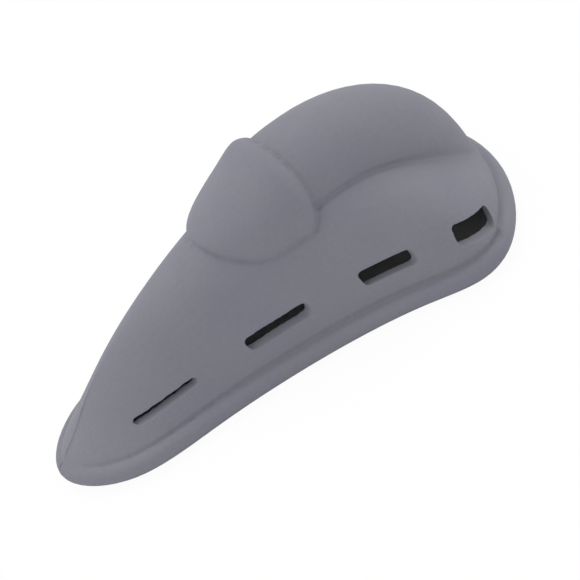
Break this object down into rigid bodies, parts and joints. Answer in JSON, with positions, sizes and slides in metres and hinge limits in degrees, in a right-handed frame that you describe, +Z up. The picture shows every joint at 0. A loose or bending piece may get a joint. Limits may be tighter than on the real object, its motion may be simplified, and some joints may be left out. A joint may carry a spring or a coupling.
{
  "type": "protective cup insert",
  "caption": "Hollow vented shell in soft grey elastomer with a beaded rim, a rounded back ridge and a hooded cap that overlaps the ridge's front end.",
  "frame": {"origin": "on the floor under the middle of the rim's bounding box", "axes": "+X from the narrow tip to the wide rear, +Y to the right side seen from the rear, +Z up from the rim to the ridge"},
  "size_m": [0.17, 0.0956, 0.0598],
  "materials": {
    "shell": "matte",
    "ridge": "matte",
    "cap": "matte",
    "bead": "matte"
  },
  "bodies": {
    "root": {"left_shell": "shell", "right_shell": "shell", "back_ridge": "ridge", "nose_cap": "cap", "rim_bead": "bead"}
  },
  "joints": []
}
